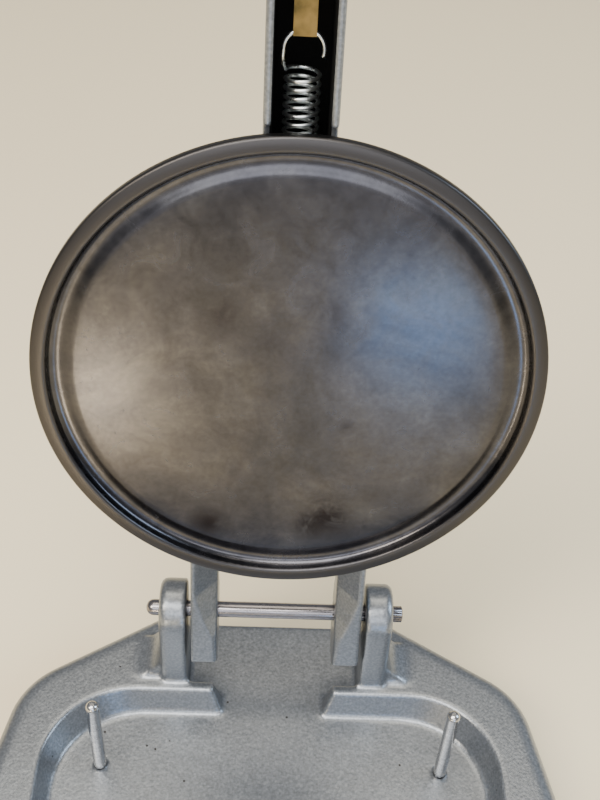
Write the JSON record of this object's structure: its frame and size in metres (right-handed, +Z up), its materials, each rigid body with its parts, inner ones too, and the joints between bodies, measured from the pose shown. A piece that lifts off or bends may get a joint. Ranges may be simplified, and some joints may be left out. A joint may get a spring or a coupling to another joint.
{
  "type": "round plate press",
  "caption": "Hand press with a wide recessed cast base and a hinged arm carrying a round grooved plate, a U-channel handle, a spring and a trigger.",
  "frame": {"origin": "centre of the bounding box's underside, on the plane the feet rest on, with the press open", "axes": "+Z up, +Y towards the hinge at the back, +X to the right as seen from the front"},
  "size_m": [0.2908, 0.3931, 0.5374],
  "materials": {
    "hammertone": "silver-grey hammertone paint",
    "plate_aluminium": "machined, darkened by use",
    "polished_steel": "polished",
    "dark_steel": "polished, darkened",
    "zinc_wire": "bright zinc",
    "zinc_steel": "zinc plated",
    "brass": "dull brass",
    "black_rubber": "matt"
  },
  "bodies": {
    "base": {"base_casting": "hammertone", "hinge_rod": "dark_steel", "guide_pin_left": "polished_steel", "guide_pin_right": "polished_steel", "foot_rear_left": "black_rubber", "foot_rear_right": "black_rubber", "foot_front_left": "black_rubber", "foot_front_right": "black_rubber", "foot_screw_rear_left": "dark_steel", "foot_screw_rear_right": "dark_steel", "foot_screw_front_left": "dark_steel", "foot_screw_front_right": "dark_steel"},
    "arm": {"arm_casting": "hammertone", "press_plate": "plate_aluminium", "spring_anchor_pin": "dark_steel", "trigger_pivot_pin": "dark_steel", "plate_screw_1": "dark_steel", "plate_screw_2": "dark_steel", "plate_screw_3": "dark_steel", "plate_screw_4": "dark_steel"},
    "bar": {"draw_bar": "brass", "extension_spring": "zinc_wire"},
    "trigger": {"trigger": "zinc_steel", "link_pin": "dark_steel"}
  },
  "joints": [
    {"name": "arm_hinge", "type": "hinge", "parent": "base", "child": "arm", "pos_m": [0, 0.1228, 0.0815], "axis": [1, 0, 0], "range_deg": [0, 102]},
    {"name": "trigger_pivot", "type": "hinge", "parent": "arm", "child": "trigger", "pos_m": [0, 0.16835, 0.45213], "axis": [-1, 0, 0], "range_deg": [0, 18], "stiffness_Nm_per_rad": 0.4, "springref_deg": -17.19},
    {"name": "bar_slide", "type": "slide", "parent": "arm", "child": "bar", "axis": [0, 0.2079, 0.9781], "range_m": [0, 0.0033], "deforming": ["extension_spring"]}
  ],
  "couplings": [
    {"joint": "bar_slide", "follows": "trigger_pivot", "m_per_rad": 0.0105}
  ]
}
